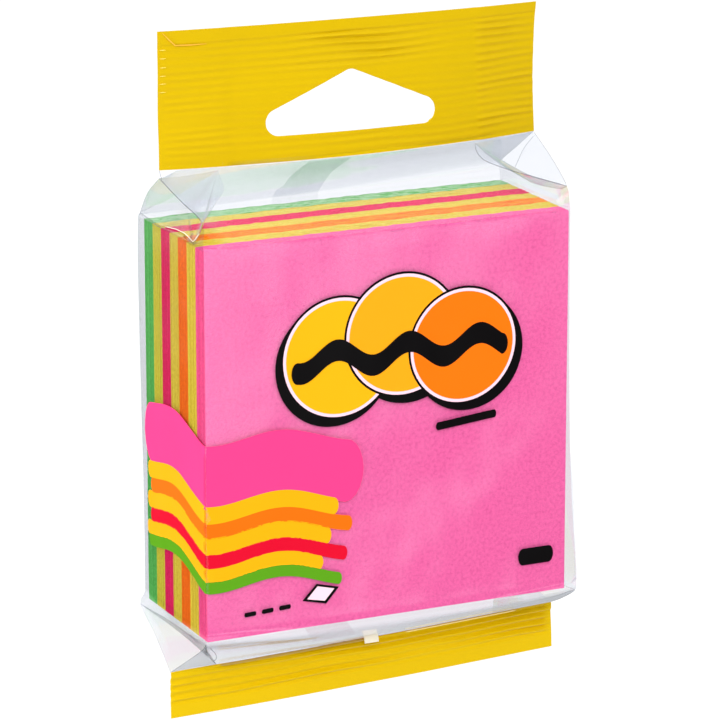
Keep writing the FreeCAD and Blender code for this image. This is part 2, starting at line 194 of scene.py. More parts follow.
BACK_LINES = (
    (TOP_EDGE_BACK_LEFT, (0, 8.2, -19.0), TOP_EDGE_BACK_RIGHT),
    (TOP_BACK_LEFT, (0, 15.0, -23.9), TOP_BACK_RIGHT),
    ((-38.75, 15.8, -25.4), (0, 15.5, -25.4), (38.4, 15.7, -25.4)),
    ((-38.8, 15.9, -27), (0, 15.6, -27), (38.4, 15.7, -27)),
    ((-38.9, 16.0, -36), (0, 15.55, -36), (38.35, 15.7, -36)),
    ((-38.7, 15.8, -62), (0, 15.6, -62), (38.35, 15.7, -62)),
    ((-38.5, 15.6, -80), (0, 15.6, -80), (38.35, 15.6, -80)),
    ((-38.5, 15.5, -97), (0, 15.6, -97), (38.4, 15.6, -97)),
    ((-38.6, 15.5, -100.7), (0, 15.6, -101), (38.4, 15.6, -101)),
    (LOW_BACK_LEFT, (0, 15.2, -103.2), LOW_BACK_RIGHT),
    (LOW_EDGE_BACK_LEFT, (0, 6.6, -106.8), LOW_EDGE_BACK_RIGHT),
    (LOW_END_LEFT, (0, -2.2, -110.1), LOW_END_RIGHT),
)

# Points across the front and the back, and across a side
WIDE = 73
DEEP = 25
# Rows of points between one line and the next, in the top roof, the upright part and the low roof
ROOF_STEPS = (10, 6)
TALL_STEPS = (7, 5, 4, 12, 12, 14, 6, 4)
BASE_STEPS = (6, 10)
TOP_ROW = sum(ROOF_STEPS)
LOW_ROW = TOP_ROW + sum(TALL_STEPS)

# Size in metres of the film's ripples, and how far a tuck sags and its wings bulge
FRONT_RIPPLE = 0.016
BACK_RIPPLE = 0.02
SIDE_RIPPLE = 0.014
TUCK_SAG = 0.0006
WING_BULGE = 0.0002


def point(values):
    """A point given in millimetres, in metres."""
    return Vector(values) * MM


def sheet_noise(place, scale, seed):
    """Smooth unevenness from -1 to 1 at a place, with bumps of a size in metres."""
    return noise.noise(place / scale + Vector((seed * 7.31, seed * 3.17, seed * 5.23)))


def smooth_step(low, high, value):
    """0 below low, 1 above high and a soft ramp between."""
    share = min(1.0, max(0.0, (value - low) / (high - low)))
    return share * share * (3 - 2 * share)


def rounded(before, start, end, after, share):
    """A point between start and end on a curve that runs on through its neighbours."""
    return 0.5 * (
        2 * start
        + (end - before) * share
        + (2 * before - 5 * start + 4 * end - after) * share**2
        + (3 * start - before - 3 * end + after) * share**3
    )


def neighbours(points, i):
    """The four points round span i of a line, with mirrored ones past its ends."""
    start, end = points[i], points[i + 1]
    before = points[i - 1] if i else start * 2 - end
    after = points[i + 2] if i + 2 < len(points) else end * 2 - start
    return before, start, end, after


def sampled(points, count, soft=True):
    """A line through points, resampled to count points at even steps of length."""
    lengths = [(b - a).length for a, b in zip(points, points[1:])]
    total = sum(lengths)
    line = []
    for k in range(count):
        want, i = total * k / (count - 1), 0
        while i < len(lengths) - 1 and want > lengths[i]:
            want -= lengths[i]
            i += 1
        share = min(1.0, want / lengths[i])
        if soft:
            line.append(rounded(*neighbours(points, i), share))
        else:
            line.append(points[i].lerp(points[i + 1], share))
    return line


def loft(lines, steps):
    """Rows of points that pass through lines of points, with so many rows in each span."""
    rows = []
    for i, count in enumerate(steps):
        for k in range(count):
            rows.append([rounded(*neighbours(column, i), k / count) for column in zip(*lines)])
    rows.append(list(lines[-1]))
    return rows


def rippled(rows, height, scale, seed):
    """The rows with soft ripples that die away at their edges."""
    last_row, last_column = len(rows) - 1, len(rows[0]) - 1
    moved = [list(row) for row in rows]
    for i in range(1, last_row):
        for j in range(1, last_column):
            across = rows[i][j + 1] - rows[i][j - 1]
            along = rows[i + 1][j] - rows[i - 1][j]
            normal = across.cross(along)
            if normal.length < 1e-12:
                continue
            fade = min(1.0, 6 * min(i / last_row, 1 - i / last_row))
            fade *= min(1.0, 6 * min(j / last_column, 1 - j / last_column))
            wave = sheet_noise(rows[i][j], scale, seed)
            wave += 0.35 * sheet_noise(rows[i][j], scale * 0.35, seed + 3)
            moved[i][j] = rows[i][j] + normal.normalized() * (wave * height * fade)
    return moved


def new_object(name, bm, material, smooth=True):
    """A mesh object from bm, in the scene, with one material."""
    mesh = bpy.data.meshes.new(name)
    for face in bm.faces:
        face.smooth = smooth
    for edge in bm.edges:
        if len(edge.link_faces) == 2 and edge.calc_face_angle(0) > SHARP_ANGLE:
            edge.smooth = False
    bm.to_mesh(mesh)
    bm.free()
    mesh.materials.append(material)
    made = bpy.data.objects.new(name, mesh)
    bpy.context.scene.collection.objects.link(made)
    return made


def piece(made, slot, *nodes):
    """Ties a finished piece to the frame."""
    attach(made, BODY)
    if nodes:
        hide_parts(*nodes)
    return made


def add_sheet(bm, rows, thickness):
    """Adds rows of points to bm as a thin closed sheet."""
    part = bmesh.new()
    grid = [[part.verts.new(p) for p in row] for row in rows]
    for upper, lower in zip(grid, grid[1:]):
        for j in range(len(upper) - 1):
            part.faces.new((upper[j], upper[j + 1], lower[j + 1], lower[j]))
    bmesh.ops.remove_doubles(part, verts=part.verts, dist=2e-6)
    bmesh.ops.solidify(part, geom=part.faces, thickness=thickness)
    bmesh.ops.recalc_face_normals(part, faces=part.faces)
    join_into(bm, part)


def add_bead(bm, line, radius, sides=6):
    """Adds a fine rounded bead along a line, as where film is folded sharply."""
    part = bmesh.new()
    rings = []
    for i, place in enumerate(line):
        ahead = line[min(i + 1, len(line) - 1)] - line[max(i - 1, 0)]
        turn = ahead.to_track_quat("Z", "Y")
        end = 0.3 if i in (0, len(line) - 1) else 1.0
        ring = []
        for k in range(sides):
            angle = math.tau * k / sides
            spoke = Vector((math.cos(angle), math.sin(angle), 0)) * radius * end
            ring.append(part.verts.new(place + turn @ spoke))
        rings.append(ring)
    for lower, upper in zip(rings, rings[1:]):
        for k in range(sides):
            n = (k + 1) % sides
            part.faces.new((lower[k], lower[n], upper[n], upper[k]))
    part.faces.new(reversed(rings[0]))
    part.faces.new(rings[-1])
    bmesh.ops.recalc_face_normals(part, faces=part.faces)
    join_into(bm, part)


def join_into(bm, part):
    """Moves all of part's mesh into bm."""
    mesh = bpy.data.meshes.new("part")
    part.to_mesh(mesh)
    part.free()
    bm.from_mesh(mesh)
    bpy.data.meshes.remove(mesh)


def inside(outline, x, z):
    """True if a place lies within a closed outline."""
    found = False
    for (ax, az), (bx, bz) in zip(outline, outline[1:] + outline[:1]):
        if (az > z) != (bz > z) and x < (bx - ax) * (z - az) / (bz - az) + ax:
            found = not found
    return found


def filled(outline, step_x, step_z, hole=None):
    """Points and triangles that fill an outline evenly, in the outline's own unit."""
    points = [Vector(p) for p in outline]
    edges = [(i, (i + 1) % len(outline)) for i in range(len(outline))]
    if hole:
        first = len(points)
        points += [Vector(p) for p in hole]
        edges += [(first + i, first + (i + 1) % len(hole)) for i in range(len(hole))]
    low_x, high_x = min(p[0] for p in outline), max(p[0] for p in outline)
    low_z, high_z = min(p[1] for p in outline), max(p[1] for p in outline)
    border = [Vector(p) for p in points]
    clear = 0.3 * min(step_x, step_z)
    columns = max(2, round((high_x - low_x) / step_x))
    rows = max(2, round((high_z - low_z) / step_z))
    for i in range(1, columns):
        for j in range(1, rows):
            x = low_x + (high_x - low_x) * i / columns
            z = low_z + (high_z - low_z) * j / rows
            if not inside(outline, x, z) or (hole and inside(hole, x, z)):
                continue
            place = Vector((x, z))
            if all(abs(b.x - x) > clear or abs(b.y - z) > clear for b in border):
                points.append(place)
    made = delaunay_2d_cdt(points, edges, [], 0, 1e-6, False)
    kept = []
    for face in made[2]:
        x = sum(made[0][i].x for i in face) / 3
        z = sum(made[0][i].y for i in face) / 3
        if inside(outline, x, z) and not (hole and inside(hole, x, z)):
            kept.append(face)
    return made[0], kept


def plate(points, faces, place, thickness):
    """A thin closed mesh of a filled outline, with every point put in place."""
    bm = bmesh.new()
    verts = [bm.verts.new(place(p.x, p.y)) for p in points]
    for face in faces:
        bm.faces.new([verts[i] for i in face])
    loose = [v for v in bm.verts if not v.link_faces]
    bmesh.ops.delete(bm, geom=loose, context="VERTS")
    bmesh.ops.recalc_face_normals(bm, faces=bm.faces)
    bmesh.ops.solidify(bm, geom=bm.faces, thickness=thickness)
    bmesh.ops.recalc_face_normals(bm, faces=bm.faces)
    return bm


# Materials

# The clear films: name, tint seen straight through, tint seen on edge, roughness
FILMS = (
    ("clear_film", (0.981, 0.983, 0.992, 1), (0.91, 0.92, 0.945, 1), 0.08),
    # The tucks and the back seam take a lighter copy of the clear film: painted light for what
    # reflections of a white room lend their many layers
    ("clear_film_tucks", (0.983, 0.984, 0.987, 1), (0.95, 0.958, 0.972, 1), 0.08),
    # Sharp creases take a darker copy of the film: painted shade for the grey look of sharp folds
    ("creased_film", (0.66, 0.68, 0.72, 1), (0.5, 0.52, 0.56, 1), 0.12),
)


def linear(value):
    """One channel of a screen colour, as light."""
    return value / 12.92 if value <= 0.04045 else ((value + 0.055) / 1.055) ** 2.4


def screen(red, green, blue):
    """A colour given as it looks on a screen, 0 to 255."""
    return tuple(linear(c / 255) for c in (red, green, blue)) + (1.0,)


def fibre_group():
    """Paper fibres: a mask of soft mottling and a height of fine fibres."""
    name = "Paper Fibres"
    if name in bpy.data.node_groups:
        return bpy.data.node_groups[name]
    group = bpy.data.node_groups.new(name, "ShaderNodeTree")
    group.interface.new_socket("Scale", in_out="INPUT", socket_type="NodeSocketFloat").default_value = 1.0
    group.interface.new_socket("Mottle", in_out="OUTPUT", socket_type="NodeSocketFloat")
    group.interface.new_socket("Height", in_out="OUTPUT", socket_type="NodeSocketFloat")
    nodes, links = group.nodes, group.links
    entry = nodes.new("NodeGroupInput")
    leave = nodes.new("NodeGroupOutput")
    place = nodes.new("ShaderNodeTexCoord")
    stretch = nodes.new("ShaderNodeMapping")
    stretch.inputs["Scale"].default_value = (260, 260, 700)
    sized = nodes.new("ShaderNodeVectorMath")
    sized.operation = "SCALE"
    links.new(place.outputs["Object"], sized.inputs[0])
    links.new(entry.outputs["Scale"], sized.inputs["Scale"])
    links.new(sized.outputs[0], stretch.inputs["Vector"])
    fibres = nodes.new("ShaderNodeTexNoise")
    fibres.inputs["Scale"].default_value = 2.0
    fibres.inputs["Detail"].default_value = 6.0
    links.new(stretch.outputs[0], fibres.inputs["Vector"])
    cloud = nodes.new("ShaderNodeTexNoise")
    cloud.inputs["Scale"].default_value = 1500.0
    cloud.inputs["Detail"].default_value = 4.0
    cloud.inputs["Roughness"].default_value = 0.8
    links.new(sized.outputs[0], cloud.inputs["Vector"])
    links.new(cloud.outputs["Fac"], leave.inputs["Mottle"])
    links.new(fibres.outputs["Fac"], leave.inputs["Height"])
    return group


def brighter(colour, share):
    """A colour with its light times a share."""
    return tuple(c * share for c in colour[:3]) + (1.0,)


def shaded(colour, steps):
    """A colour whose screen values are all lower by so many steps of 255."""
    values = []
    for c in colour[:3]:
        value = 12.92 * c if c <= 0.0031308 else 1.055 * c ** (1 / 2.4) - 0.055
        values.append(linear(max(0.0, value - steps / 255)))
    return tuple(values) + (1.0,)


def paper_material(name, colour):
    """Matt coloured paper with faint mottling and fibres."""
    material = bpy.data.materials.new(name)
    material.use_nodes = True
    nodes, links = material.node_tree.nodes, material.node_tree.links
    shader = nodes["Principled BSDF"]
    shader.inputs["Roughness"].default_value = 0.85
    shader.inputs["Specular IOR Level"].default_value = 0.12
    fibres = nodes.new("ShaderNodeGroup")
    fibres.node_tree = fibre_group()
    spread = nodes.new("ShaderNodeMapRange")
    spread.inputs["From Min"].default_value = 0.32
    spread.inputs["From Max"].default_value = 0.58
    links.new(fibres.outputs["Mottle"], spread.inputs["Value"])
    mix = nodes.new("ShaderNodeMix")
    mix.data_type = "RGBA"
    mix.inputs["A"].default_value = shaded(colour, PAPER_MOTTLE)
    mix.inputs["B"].default_value = colour
    links.new(spread.outputs["Result"], mix.inputs["Factor"])
    links.new(mix.outputs["Result"], shader.inputs["Base Color"])
    bump = nodes.new("ShaderNodeBump")
    bump.inputs["Strength"].default_value = 0.18
    bump.inputs["Distance"].default_value = 0.00012
    links.new(fibres.outputs["Height"], bump.inputs["Height"])
    links.new(bump.outputs["Normal"], shader.inputs["Normal"])
    return material


def film_material(name, tint, edge_tint, roughness):
    """Clear glossy film: mostly see-through, more like a mirror and darker where seen on edge."""
    material = bpy.data.materials.new(name)
    material.use_nodes = True
    nodes, links = material.node_tree.nodes, material.node_tree.links
    gloss = nodes["Principled BSDF"]
    gloss.inputs["Base Color"].default_value = (0.95, 0.97, 1.0, 1.0)
    gloss.inputs["Metallic"].default_value = 1.0
    gloss.inputs["Roughness"].default_value = roughness
    clear = nodes.new("ShaderNodeBsdfTransparent")
    facing = nodes.new("ShaderNodeLayerWeight")
    facing.inputs["Blend"].default_value = 0.35
    tinted = nodes.new("ShaderNodeMix")
    tinted.data_type = "RGBA"
    tinted.inputs["A"].default_value = tint
    tinted.inputs["B"].default_value = edge_tint
    links.new(facing.outputs["Facing"], tinted.inputs["Factor"])
    links.new(tinted.outputs["Result"], clear.inputs["Color"])
    inner = nodes.new("ShaderNodeNewGeometry")
    index = nodes.new("ShaderNodeMapRange")
    index.inputs["To Min"].default_value = FILM_INDEX
    index.inputs["To Max"].default_value = 1 / FILM_INDEX
    links.new(inner.outputs["Backfacing"], index.inputs["Value"])
    fresnel = nodes.new("ShaderNodeFresnel")
    links.new(index.outputs["Result"], fresnel.inputs["IOR"])
    mix = nodes.new("ShaderNodeMixShader")
    links.new(fresnel.outputs["Fac"], mix.inputs["Fac"])
    links.new(clear.outputs["BSDF"], mix.inputs[1])
    links.new(gloss.outputs["BSDF"], mix.inputs[2])
    links.new(mix.outputs["Shader"], nodes["Material Output"].inputs["Surface"])
    return material


def ink_material(name, colour, roughness=0.3):
    """One plain opaque colour, as of print on film."""
    material = bpy.data.materials.new(name)
    material.use_nodes = True
    shader = material.node_tree.nodes["Principled BSDF"]
    shader.inputs["Base Color"].default_value = colour
    shader.inputs["Roughness"].default_value = roughness
    shader.inputs["Specular IOR Level"].default_value = 0.12
    return material


def printed_film_material(name, colour):
    """Opaque yellow film with slight unevenness in its colour."""
    material = ink_material(name, colour, 0.42)
    nodes, links = material.node_tree.nodes, material.node_tree.links
    shader = nodes["Principled BSDF"]
    shader.inputs["Specular IOR Level"].default_value = 0.1
    fibres = nodes.new("ShaderNodeGroup")
    fibres.node_tree = fibre_group()
    fibres.inputs["Scale"].default_value = 0.25
    mix = nodes.new("ShaderNodeMix")
    mix.data_type = "RGBA"
    mix.inputs["A"].default_value = brighter(colour, 0.93)
    mix.inputs["B"].default_value = colour
    links.new(fibres.outputs["Mottle"], mix.inputs["Factor"])
    links.new(mix.outputs["Result"], shader.inputs["Base Color"])
    return material


# Notes

# Of a note's sides, counted from the bottom and on to the right, the frayed one,
# and how many times more points it has
TOP_SIDE = 2
FRAYED_POINTS = 4

# Which of a block's papers its cut faces have: copies of its paper with painted light and shade. Its
# broad faces have the first, 0
SIDE_PAPER = 1
TOP_PAPER = 2

# The release sheet's points lie this far apart and wave this much, in metres
BACKING_GRID = 0.004
BACKING_WAVE = 0.000024


def note_block(name, low, high, look, seed, papers):
    """A block of paper sheets, each cut a hair differently, as one closed mesh."""
    rng = random.Random(seed)
    thick = (high.y - low.y) / look.sheets
    uneven = look.unevenness
    corners = ((low.x, low.z), (high.x, low.z), (high.x, high.z), (low.x, high.z))
    bm = bmesh.new()
    rings = []
    for i in range(look.sheets):
        shift_x = rng.uniform(-uneven, uneven) * 0.6
        shift_z = rng.uniform(-uneven, uneven) * 0.6
        for y in (low.y + i * thick, low.y + (i + 1) * thick):
            ring = []
            for side in range(4):
                a, b = corners[side], corners[(side + 1) % 4]
                parts = look.side_points * (FRAYED_POINTS if side == TOP_SIDE else 1)
                for k in range(parts):
                    x = a[0] + (b[0] - a[0]) * k / parts
                    z = a[1] + (b[1] - a[1]) * k / parts
                    drift = sheet_noise(Vector((x, y * 6, z)), 0.03, seed) * uneven * 0.8
                    out_x = (0, 1, 0, -1)[side] * drift
                    out_z = (-1, 0, 1, 0)[side] * drift
                    if side == TOP_SIDE:
                        out_z += sheet_noise(Vector((x, y * 9, z)), 0.0018, seed + 40) * look.fray
                    ring.append(bm.verts.new((x + shift_x + out_x, y, z + shift_z + out_z)))
            rings.append(ring)
    count = len(rings[0])
    for lower, upper in zip(rings, rings[1:]):
        for k in range(count):
            n = (k + 1) % count
            bm.faces.new((lower[k], lower[n], upper[n], upper[k]))
    bm.faces.new(reversed(rings[0]))
    bm.faces.new(rings[-1])
    bmesh.ops.recalc_face_normals(bm, faces=bm.faces)
    for face in bm.faces:
        if abs(face.normal.x) > 0.7:
            face.material_index = SIDE_PAPER
        elif abs(face.normal.z) > 0.7:
            face.material_index = TOP_PAPER
    made = new_object(name, bm, papers[0], smooth=False)
    for paper in papers[1:]:
        made.data.materials.append(paper)
    return made


def backing_sheet(low, high):
    """The thin release sheet under the last note, which isn't quite flat."""
    half = (high.x - low.x) / 2
    middle = (low + high) / 2

    def place(x, z):
        wave = sheet_noise(Vector((x, 0, z)), 0.03, 21) * BACKING_WAVE
        return middle + Vector((x, wave, z))

    outline = [(-half, -half), (half, -half), (half, half), (-half, half)]
    points, faces = filled(outline, BACKING_GRID, BACKING_GRID)
    return plate(points, faces, place, high.y - low.y)


# Sleeve


def header_line():
    """The fold under the header: bowed forward in its middle."""
    left, right = Vector(HEADER_CORNERS[0]), Vector(HEADER_CORNERS[1])
    line = []
    for k in range(WIDE):
        share = k / (WIDE - 1)
        x, z = left.lerp(right, share)
        side = 2 * share - 1
        y = HEADER_ENDS_Y - HEADER_BOW_LOW * (1 - side * side)
        drop = HEADER_DROP * (1 - smooth_step(0, 0.05, share))
        line.append(point((x, y, z - 0.1 - drop)))
    return line


def header_strip():
    """The clear strip between the header's fold and the yellow."""
    (left_x, left_z), (right_x, right_z) = HEADER_CORNERS[:2]
    fold = header_line()
    edge = []
    for k in range(WIDE):
        share = k / (WIDE - 1)
        x = left_x + (right_x - left_x) * share
        z = left_z + (right_z - left_z) * share
        edge.append(header_place(x, z + STRIP_OVERLAP))
    return [fold, [a.lerp(b, 0.5) for a, b in zip(fold, edge)], edge]


def panel_rows(table):
    """The front or the back of the sleeve, from the header's fold down to the footer's."""
    lines = [header_line()] + [sampled([point(p) for p in row], WIDE) for row in table]
    return loft(lines, ROOF_STEPS + TALL_STEPS + BASE_STEPS)


def side_rows(near, far, top_fold, low_fold):
    """A side of the sleeve between two edges, with both its ends drawn to their folds."""
    upper = sampled([near[0]] + [point(p) for p in top_fold] + [far[0]], DEEP, soft=False)
    lower = sampled([near[-1]] + [point(p) for p in low_fold] + [far[-1]], DEEP)
    rows = []
    for i, (a, b) in enumerate(zip(near, far)):
        down = i / (len(near) - 1)
        row = []
        for k in range(DEEP):
            share = k / (DEEP - 1)
            pull = (upper[k] - near[0].lerp(far[0], share)) * (1 - smooth_step(0, 0.14, down))
            push = (lower[k] - near[-1].lerp(far[-1], share)) * smooth_step(0.9, 1, down)
            row.append(a.lerp(b, share) + pull + push)
        rows.append(row)
    return rows


def gusset(bm, edges, fold, crease, apex, thick, sag):
    """Adds one folded-in end of a side to bm: the tuck and its two wings. The front's and the
    back's edges run from a fold corner to the seal's end. Gives back the tuck's front crease."""
    front_edge, back_edge = edges
    count = len(front_edge)
    apex = point(apex)
    down = Vector((0, 0, -sag))

    def sagging(start):
        return sampled([start, start.lerp(apex, 0.5) + down, apex], count)

    front_crease = sampled([front_edge[0]] + [point(p) for p in crease] + [apex], count)
    back_crease = sagging(back_edge[0])
    lines = [front_crease] + [sagging(point(p)) for p in fold] + [back_crease]
    add_sheet(bm, loft(lines, [5] * (len(lines) - 1)), thick)
    inward = (apex - front_edge[-1]).normalized() * WING_BULGE
    for edge, line in ((front_edge, front_crease), (back_edge, back_crease)):
        middle = [a.lerp(b, 0.5) + inward + down * 0.4 for a, b in zip(edge, line)]
        middle[0] = edge[0].copy()
        add_sheet(bm, loft([line, middle, edge], (4, 4)), thick)
    return front_crease


class Sleeve:
    """The clear film as rows of points, and its creases, each with its weight: soft ones of
    clear film and sharp ones that look grey, in darker film that is painted shade."""

    def __init__(self, look):
        self.look = look
        self.front = rippled(panel_rows(FRONT_LINES), look.ripple_height, FRONT_RIPPLE, 1)
        self.back = rippled(panel_rows(BACK_LINES), look.ripple_height, BACK_RIPPLE, 2)
        self.left = self.side(0, TOP_FOLD_LEFT, LOW_FOLD_LEFT, 5)
        self.right = self.side(-1, TOP_FOLD_RIGHT, LOW_FOLD_RIGHT, 6)
        self.soft, self.sharp = [], []

    def side(self, column, top_fold, low_fold, seed):
        """The left or the right side, between the front's and the back's edges."""
        near, far = self.edges(column, TOP_ROW, LOW_ROW + 1)
        rows = side_rows(near, far, top_fold, low_fold)
        return rippled(rows, self.look.ripple_height * 1.5, SIDE_RIPPLE, seed)

    def edges(self, column, start, end):
        """The front's and the back's edge points in one column, between two rows."""
        return [[row[column] for row in rows[start:end]] for rows in (self.front, self.back)]

    def tucks(self):
        """The four folded-in ends of the sides, which also give most of the creases."""
        bm = bmesh.new()
        thick = self.look.film_thickness
        for column, fold, crease, apex in (
            (0, TOP_FOLD_LEFT, TOP_CREASE_LEFT, TOP_APEX_LEFT),
            (-1, TOP_FOLD_RIGHT, TOP_CREASE_RIGHT, TOP_APEX_RIGHT),
        ):
            front_edge, back_edge = (edge[::-1] for edge in self.edges(column, 0, TOP_ROW + 1))
            inner = gusset(bm, (front_edge, back_edge), fold, crease, apex, thick, TUCK_SAG)
            self.soft.append((back_edge, 0.7))
            if column:
                self.sharp += [(inner, 1.3), (front_edge, 0.7)]
            else:
                aside = point((0.45, -0.1, 0.3))
                self.sharp.append((front_edge, 1.3))
                self.soft += [(inner, 0.4), ([p + aside for p in front_edge[2:-1]], 1.3)]
        for column, fold, crease, apex in (
            (0, LOW_FOLD_LEFT, LOW_CREASE_LEFT, LOW_APEX_LEFT),
            (-1, LOW_FOLD_RIGHT, LOW_CREASE_RIGHT, LOW_APEX_RIGHT),
        ):
            front_edge, back_edge = self.edges(column, LOW_ROW, None)
            inner = gusset(bm, (front_edge, back_edge), fold, crease, apex, thick, -TUCK_SAG)
            self.soft.append((back_edge, 1.0))
            self.sharp += [(front_edge, 0.8), (inner, 0.6)]
        self.soft += [(self.left[-1], 1.4), (self.right[-1], 1.4), (self.right[0], 1.0)]
        self.sharp += [(sampled([point(p) for p in line], 14), weight) for line, weight in EXTRA_CREASES]
        return bm

    def panels(self):
        """The front, the back, the sides and the strip under the header, with the soft creases."""
        bm = bmesh.new()
        for rows in (self.front, self.back, self.left, self.right):
            add_sheet(bm, rows, self.look.film_thickness)
        self.add_creases(bm, self.soft)
        add_sheet(bm, header_strip(), self.look.film_thickness)
        return bm

    def add_creases(self, bm, creases):
        """Adds creases to bm, each as thick as its weight."""
        for line, weight in creases:
            add_bead(bm, line, self.look.crease_radius * weight)

    def creases(self):
        """All the sharp creases."""
        bm = bmesh.new()
        self.add_creases(bm, self.sharp)
        return bm

    def tab(self):
        """The small crinkled tab over the footer, and a painted glint, a pale opaque bead, on the left
        side's top fold.
        """
        bm = bmesh.new()
        # A painted glint: a pale opaque bead along the left side's top fold
        self.add_creases(bm, [(self.left[0][2:16], 1.1)])
        rows = []
        for k in range(5):
            z = -108.7 - 0.36 * k
            rows.append([point((-1.5 + 0.5 * i, -5.7 - 0.12 * k + 0.05 * (i % 2), z)) for i in range(7)])
        add_sheet(bm, rows, self.look.film_thickness * 3)
        return bm

    def back_seam(self):
        """The flat fin of the lengthwise seam, close on the back."""
        rows = []
        for row in self.back[1:-1]:
            middle = [p for p in row if -0.011 <= p.x <= -0.0006]
            rows.append([middle[0].lerp(middle[-1], k / 8) + Vector((0, 0.0002, 0)) for k in range(9)])
        bm = bmesh.new()
        add_sheet(bm, rows, self.look.film_thickness * 2)
        return bm


# Yellow seals

# How far apart the points within a seal lie, across and up, in millimetres, and how many
# points there are along its long sides and round each of the hole's rounds
SEAL_GRID = (1.0, 0.2)
SEAL_POINTS = 80
HOLE_POINTS = 48

# A crease in the header's top left corner, and under it short painted highlights where the crimped ridges
# catch the light, by points across and up
HEADER_CREASE = ((-39.0, 12.2), (-37.6, 10.7), (-36.4, 9.6), (-33.5, 9.5), (-30.3, 9.5))
RIDGE_GLINT_X = (-39.5, -39.0, -38.3)
RIDGE_GLINT_Z = (8.9, 7.3, 5.6, 4.0, 2.5, 0.9)
# How far the fine lines stand out of a seal, in metres
LINE_LIFT = 0.00025


def quad_place(corners, across_share, up_share):
    """A place in a four-cornered outline, by its shares across and up."""
    low = Vector(corners[0]).lerp(Vector(corners[1]), across_share)
    top = Vector(corners[3]).lerp(Vector(corners[2]), across_share)
    return low.lerp(top, up_share)


def outline_of(corners, count, waist):
    """The outline of a seal, with its right side drawn in a little at mid height."""
    edge = []
    for k in range(count):
        edge.append(quad_place(corners, k / count, 0))
    for k in range(count // 3):
        share = k / (count // 3)
        p = quad_place(corners, 1, share)
        p.x -= waist * math.sin(math.pi * share)
        edge.append(p)
    for k in range(count):
        edge.append(quad_place(corners, 1 - k / count, 1))
    for k in range(count // 3):
        edge.append(quad_place(corners, 0, 1 - k / (count // 3)))
    return [tuple(p) for p in edge]


def ridge(x, z, top, strength, half, run):
    """Height of the crimped ridges at a place on a seal, in millimetres. They fade out at the
    seal's ends, half a width from its middle, and break into streaks about as long as the run."""
    wander = CRIMP_WANDER * noise.noise(Vector((x * 0.06, z * 0.14, 4.2)))
    wave = math.sin(math.tau * (z + wander) / CRIMP_PITCH)
    patch = 0.45 + 1.2 * noise.noise(Vector((x / run, z * 0.4, 9.7)))
    ends = 1 - smooth_step(half - CRIMP_FADE, half, abs(x))
    lip = smooth_step(top - CRIMP_LIP, top - CRIMP_LIP + 0.7, z)
    return wave * strength * ends * (0.3 + 0.7 * patch) * (1 - lip)


def header_place(x, z):
    """Where a point of the flat header lies, in metres. The header is thicker at its ends, and
    its ridges stand out most at the right, over the hole and a little under it."""
    low, top = HEADER_CORNERS[0][1], HEADER_CORNERS[3][1]
    up = (z - low) / (top - low)
    side = x / HEADER_HALF
    bow = (HEADER_BOW_LOW + (HEADER_BOW_TOP - HEADER_BOW_LOW) * up) * (1 - side * side)
    right = smooth_step(LAYER_STEP_X, LAYER_STEP_X + 1.2, x)
    left = smooth_step(LAYER_STEP_X + 0.5, LAYER_STEP_X + 2, -x)
    over = math.exp(-((x + 1) / 13) ** 2) * smooth_step(2.2, 4.5, z)
    under = math.exp(-((x - 4) / 16) ** 2) * (1 - smooth_step(-10.2, -9.6, z))
    strength = 0.04 + 0.2 * right + 0.03 * left + 0.32 * over + 0.08 * under
    bump = ridge(x, z, top, strength, HEADER_CRIMP_HALF, 12.5) + 0.14 * right + 0.1 * left
    bump += 0.12 * smooth_step(top - CRIMP_LIP, top - CRIMP_LIP + 0.4, z)
    bump += 0.25 * noise.noise(Vector((x * 0.05, z * 0.12, 1.3)))
    return point((x, HEADER_ENDS_Y - bow - bump, z))


def footer_place(x, z):
    """Where a point of the flat footer lies, in metres. Its lowest part is plain, and its top
    edge stands forward."""
    low, top = FOOTER_CORNERS[0][1], FOOTER_CORNERS[3][1]
    side = x / FOOTER_HALF
    lip = quad_place(FOOTER_CORNERS, (x + 40.6) / 81.8, 1).y
    level = z - FOOTER_SLOPE * x
    bump = ridge(x, level, top + 5, FOOTER_CRIMP, FOOTER_CRIMP_HALF, 40)
    bump *= smooth_step(low + 3.6, low + 4.8, level)
    bump += 0.4 * smooth_step(lip - 1.7, lip - 1.1, z)
    bump += 0.2 * noise.noise(Vector((x * 0.06, z * 0.15, 6.3)))
    return point((x, FOOTER_Y - FOOTER_BOW * (1 - side * side) - bump, z))


def hole_outline(count):
    """The rounded triangular hole, drawn tightly round three circles."""
    dots = []
    for x, z, radius in HOLE_ROUNDS:
        for k in range(count):
            angle = math.tau * k / count
            dots.append(Vector((x + HOLE_SHIFT + radius * math.cos(angle), z + radius * math.sin(angle))))
    loop = []
    hull = [dots[i] for i in convex_hull_2d(dots)]
    for a, b in zip(hull, hull[1:] + hull[:1]):
        parts = max(1, round((b - a).length / 0.8))
        loop += [tuple(a.lerp(b, k / parts)) for k in range(parts)]
    return loop


# Prints

# How far print lies off the film in millimetres, and how much further each disc than the last
PRINT_LIFT = 0.08
SHADOW_LIFT = 0.09
RIM_LIFT = 0.10
SHEET_LIFT = 0.11
FILL_LIFT = 0.12
WAVE_LIFT = 0.24
DISC_STEP = 0.04

# How far apart a print's points lie, in millimetres, and how thick it is, in metres
PRINT_GRID = 2.0
PRINT_THICKNESS = 0.00001

# Where print turns from the front on to the left side
CORNER_X = -38.4
CORNER_Y = -14.4

INKS = {
    "amber": (243, 160, 14),
    "golden": (240, 172, 6),
    "orange": (243, 112, 0),
    "black": (6, 4, 5),
    "pale": (250, 206, 220),
}

# The discs: name, ink, centre across, centre up, radius
DISCS = (
    ("left", "golden", -10.8, -49.2, 11.6),
    ("middle", "amber", 2.4, -46.2, 11.8),
    ("right", "orange", 15.2, -49.8, 11.2),
)

